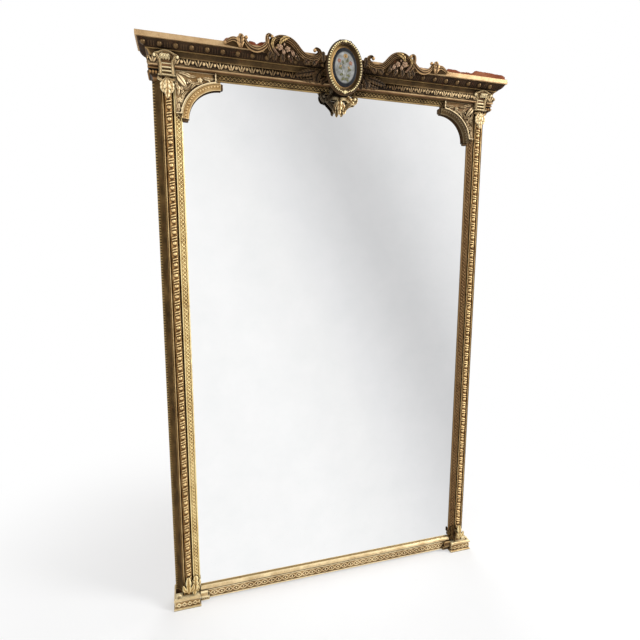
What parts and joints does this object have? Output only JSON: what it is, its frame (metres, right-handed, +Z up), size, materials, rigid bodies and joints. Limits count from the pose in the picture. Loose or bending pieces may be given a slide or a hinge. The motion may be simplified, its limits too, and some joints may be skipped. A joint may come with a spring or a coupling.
{
  "type": "gilt overmantel mirror",
  "caption": "Tall gilt wall and mantel mirror with leaf-moulded jambs, a moulded cornice, a carved crest with an oval plaque, and plinth feet.",
  "frame": {"origin": "middle of the footprint, on the floor under the plinths", "axes": "+Z up, the glass faces -Y, +Y towards the wall, +X to the viewer's right"},
  "size_m": [1.1498, 0.1164, 1.752],
  "materials": {
    "bright_gilt": "worn gilding on gesso, satin",
    "dark_gilt": "dark bronzed gilding, satin",
    "olive_gilt": "olive toned gilding, satin",
    "red_bole": "worn red bole, matt",
    "plaque": "painted and glazed",
    "mirror": "silvered glass",
    "pine": "bare old pine",
    "plank_pine": "bare old pine planks",
    "steel": "dull steel"
  },
  "bodies": {
    "frame": {"back_plank_1": "plank_pine", "back_plank_2": "plank_pine", "back_plank_3": "plank_pine", "back_plank_4": "plank_pine", "bottom_rail": "pine", "cornice_front": "dark_gilt", "crest_backboard": "red_bole", "crest_braces": "pine", "dust_board": "pine", "frieze_board": "pine", "frieze_moulding": "dark_gilt", "glazing_blocks": "pine", "hanger_screws": "steel", "left_console": "bright_gilt", "left_console_leaf": "bright_gilt", "left_cornice_return": "dark_gilt", "left_crest": "dark_gilt", "left_crest_leaf": "dark_gilt", "left_foot_leaf": "bright_gilt", "left_frieze_return": "dark_gilt", "left_hanger_strap": "steel", "left_impost": "dark_gilt", "left_jamb_cove": "dark_gilt", "left_jamb_torus": "bright_gilt", "left_plinth": "bright_gilt", "left_plinth_step": "bright_gilt", "left_sight_moulding": "bright_gilt", "left_spandrel": "bright_gilt", "left_stile": "pine", "medallion_back": "pine", "medallion_block": "pine", "medallion_cove": "olive_gilt", "medallion_plaque": "plaque", "medallion_ring": "bright_gilt", "mirror_glass": "mirror", "pendant": "dark_gilt", "plank_screws": "steel", "right_console": "bright_gilt", "right_console_leaf": "bright_gilt", "right_cornice_return": "dark_gilt", "right_crest": "dark_gilt", "right_crest_leaf": "dark_gilt", "right_foot_leaf": "bright_gilt", "right_frieze_return": "dark_gilt", "right_hanger_strap": "steel", "right_impost": "dark_gilt", "right_jamb_cove": "dark_gilt", "right_jamb_torus": "bright_gilt", "right_plinth": "bright_gilt", "right_plinth_step": "bright_gilt", "right_sight_moulding": "bright_gilt", "right_spandrel": "bright_gilt", "right_stile": "pine", "setting_blocks": "pine", "sill_moulding": "bright_gilt", "tenon_pegs": "pine", "top_rail": "pine", "top_sight_moulding": "bright_gilt"},
    "left_ring": {"left_hanger_ring": "steel"},
    "right_ring": {"right_hanger_ring": "steel"}
  },
  "joints": [
    {"name": "left_ring_swing", "type": "hinge", "parent": "frame", "child": "left_ring", "pos_m": [-0.51245, 0.0484, 1.4], "axis": [1, 0, 0], "range_deg": [0, 175]},
    {"name": "right_ring_swing", "type": "hinge", "parent": "frame", "child": "right_ring", "pos_m": [0.51245, 0.0484, 1.4], "axis": [1, 0, 0], "range_deg": [0, 175]}
  ]
}
